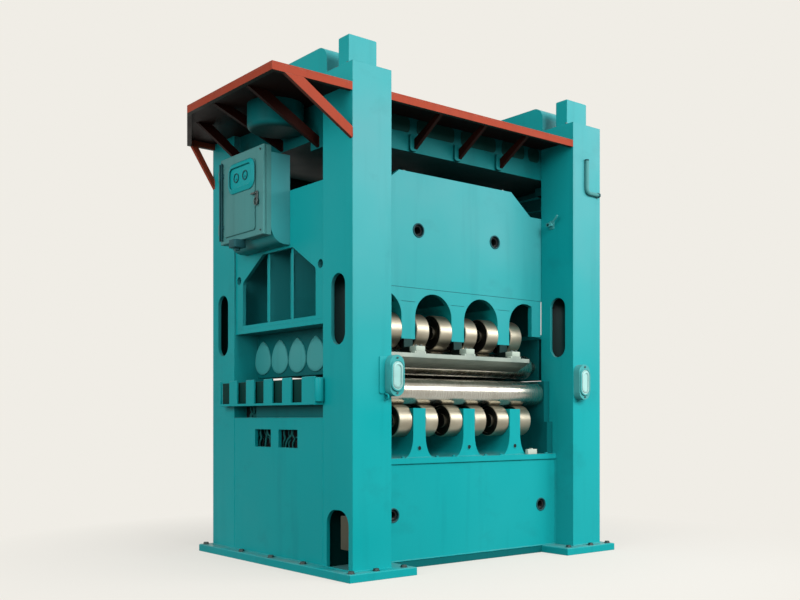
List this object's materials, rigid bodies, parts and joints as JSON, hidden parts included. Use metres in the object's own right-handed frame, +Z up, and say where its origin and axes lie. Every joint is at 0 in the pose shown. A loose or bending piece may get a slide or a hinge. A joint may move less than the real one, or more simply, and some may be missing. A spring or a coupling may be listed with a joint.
{
  "type": "plate leveling machine",
  "caption": "Four-column plate leveler: teal box columns, a press beam on guides with arched roller frame, polished work rolls with backup rollers, red platform on top.",
  "frame": {"origin": "on the floor, midway between the four columns", "axes": "+X across the machine along the roll axes, to the right seen from the front; +Y the way the plate travels, front at -Y; +Z up"},
  "size_m": [4.658, 3.02, 5.33],
  "materials": {
    "teal_paint": "gloss teal machine enamel",
    "red_oxide_paint": "matt red oxide paint",
    "grey_green_paint": "satin grey-green enamel",
    "polished_steel": "ground and polished steel",
    "satin_steel": "turned steel with a light oil film",
    "bare_steel": "bare planed steel",
    "pale_face": "pale satin cover",
    "grey_paint": "dark enamelled pipe"
  },
  "bodies": {
    "frame": {"bed_bottom_plate": "teal_paint", "bed_face_plates": "teal_paint", "bed_top_plate": "teal_paint", "bent_pipe": "grey_paint", "column_front_left": "teal_paint", "column_front_right": "teal_paint", "column_rear_left": "teal_paint", "column_rear_right": "teal_paint", "crown_apron": "teal_paint", "crown_beam": "teal_paint", "drive_covers": "teal_paint", "drive_housing": "teal_paint", "gauge_brackets": "teal_paint", "gauge_faces": "pale_face", "guard_side_beams": "teal_paint", "lower_backup_inner": "satin_steel", "lower_bearing_housings": "teal_paint", "lower_roller_stands": "teal_paint", "lower_side_plates": "teal_paint", "platform_deck": "red_oxide_paint", "platform_edge": "red_oxide_paint", "platform_gussets": "red_oxide_paint", "platform_struts": "red_oxide_paint", "roll_end_guards": "teal_paint", "screw_caps": "teal_paint", "sole_plates": "teal_paint"},
    "press_beam": {"beam_cover_plates": "teal_paint", "beam_end_plates": "teal_paint", "beam_end_ribs": "teal_paint", "beam_end_webs": "teal_paint", "beam_face_plates": "teal_paint", "beam_ledges": "teal_paint", "upper_arch_beams": "teal_paint", "upper_pillars": "teal_paint", "upper_bearing_housings": "teal_paint", "upper_roll_caps": "grey_green_paint", "plate_guides": "bare_steel", "side_cover": "teal_paint", "cabinet_body": "grey_green_paint", "upper_backup_inner": "satin_steel"},
    "lower_work_roll_1": {"lower_work_roll_1": "polished_steel"},
    "lower_work_roll_2": {"lower_work_roll_2": "polished_steel"},
    "lower_work_roll_3": {"lower_work_roll_3": "polished_steel"},
    "lower_work_roll_4": {"lower_work_roll_4": "polished_steel"},
    "lower_work_roll_5": {"lower_work_roll_5": "polished_steel"},
    "lower_work_roll_6": {"lower_work_roll_6": "polished_steel"},
    "upper_work_roll_1": {"upper_work_roll_1": "polished_steel"},
    "upper_work_roll_2": {"upper_work_roll_2": "polished_steel"},
    "upper_work_roll_3": {"upper_work_roll_3": "polished_steel"},
    "upper_work_roll_4": {"upper_work_roll_4": "polished_steel"},
    "upper_work_roll_5": {"upper_work_roll_5": "polished_steel"},
    "lower_backup_front": {"lower_backup_front": "satin_steel"},
    "upper_backup_front": {"upper_backup_front": "satin_steel"},
    "door": {"cabinet_door": "grey_green_paint"}
  },
  "joints": [
    {"name": "press_beam_slide", "type": "slide", "parent": "frame", "child": "press_beam", "axis": [0, 0, 1], "range_m": [-0.09, 0.1]},
    {"name": "cabinet_door_hinge", "type": "hinge", "parent": "press_beam", "child": "door", "pos_m": [-2.111, 0.68, 3.925], "axis": [0, 0, -1], "range_deg": [0, 110]},
    {"name": "lower_work_roll_1_spin", "type": "hinge", "parent": "frame", "child": "lower_work_roll_1", "pos_m": [0, -0.8925, 1.85], "axis": [1, 0, 0], "continuous": true},
    {"name": "lower_work_roll_2_spin", "type": "hinge", "parent": "frame", "child": "lower_work_roll_2", "pos_m": [0, -0.5355, 1.85], "axis": [1, 0, 0], "continuous": true},
    {"name": "lower_work_roll_3_spin", "type": "hinge", "parent": "frame", "child": "lower_work_roll_3", "pos_m": [0, -0.1785, 1.85], "axis": [1, 0, 0], "continuous": true},
    {"name": "lower_work_roll_4_spin", "type": "hinge", "parent": "frame", "child": "lower_work_roll_4", "pos_m": [0, 0.1785, 1.85], "axis": [1, 0, 0], "continuous": true},
    {"name": "lower_work_roll_5_spin", "type": "hinge", "parent": "frame", "child": "lower_work_roll_5", "pos_m": [0, 0.5355, 1.85], "axis": [1, 0, 0], "continuous": true},
    {"name": "lower_work_roll_6_spin", "type": "hinge", "parent": "frame", "child": "lower_work_roll_6", "pos_m": [0, 0.8925, 1.85], "axis": [1, 0, 0], "continuous": true},
    {"name": "upper_work_roll_1_spin", "type": "hinge", "parent": "press_beam", "child": "upper_work_roll_1", "pos_m": [0, -0.714, 2.17], "axis": [1, 0, 0], "continuous": true},
    {"name": "upper_work_roll_2_spin", "type": "hinge", "parent": "press_beam", "child": "upper_work_roll_2", "pos_m": [0, -0.357, 2.17], "axis": [1, 0, 0], "continuous": true},
    {"name": "upper_work_roll_3_spin", "type": "hinge", "parent": "press_beam", "child": "upper_work_roll_3", "pos_m": [0, 0, 2.17], "axis": [1, 0, 0], "continuous": true},
    {"name": "upper_work_roll_4_spin", "type": "hinge", "parent": "press_beam", "child": "upper_work_roll_4", "pos_m": [0, 0.357, 2.17], "axis": [1, 0, 0], "continuous": true},
    {"name": "upper_work_roll_5_spin", "type": "hinge", "parent": "press_beam", "child": "upper_work_roll_5", "pos_m": [0, 0.714, 2.17], "axis": [1, 0, 0], "continuous": true},
    {"name": "lower_backup_front_spin", "type": "hinge", "parent": "frame", "child": "lower_backup_front", "pos_m": [0, -0.8925, 1.5345], "axis": [1, 0, 0], "continuous": true},
    {"name": "upper_backup_front_spin", "type": "hinge", "parent": "press_beam", "child": "upper_backup_front", "pos_m": [0, -0.714, 2.5055], "axis": [1, 0, 0], "continuous": true}
  ],
  "couplings": [
    {"joint": "lower_work_roll_2_spin", "follows": "lower_work_roll_1_spin", "ratio": 1},
    {"joint": "lower_work_roll_3_spin", "follows": "lower_work_roll_1_spin", "ratio": 1},
    {"joint": "lower_work_roll_4_spin", "follows": "lower_work_roll_1_spin", "ratio": 1},
    {"joint": "lower_work_roll_5_spin", "follows": "lower_work_roll_1_spin", "ratio": 1},
    {"joint": "lower_work_roll_6_spin", "follows": "lower_work_roll_1_spin", "ratio": 1},
    {"joint": "upper_work_roll_1_spin", "follows": "lower_work_roll_1_spin", "ratio": -1},
    {"joint": "upper_work_roll_2_spin", "follows": "lower_work_roll_1_spin", "ratio": -1},
    {"joint": "upper_work_roll_3_spin", "follows": "lower_work_roll_1_spin", "ratio": -1},
    {"joint": "upper_work_roll_4_spin", "follows": "lower_work_roll_1_spin", "ratio": -1},
    {"joint": "upper_work_roll_5_spin", "follows": "lower_work_roll_1_spin", "ratio": -1},
    {"joint": "lower_backup_front_spin", "follows": "lower_work_roll_1_spin", "ratio": -0.8},
    {"joint": "upper_backup_front_spin", "follows": "lower_work_roll_1_spin", "ratio": 0.71795}
  ]
}
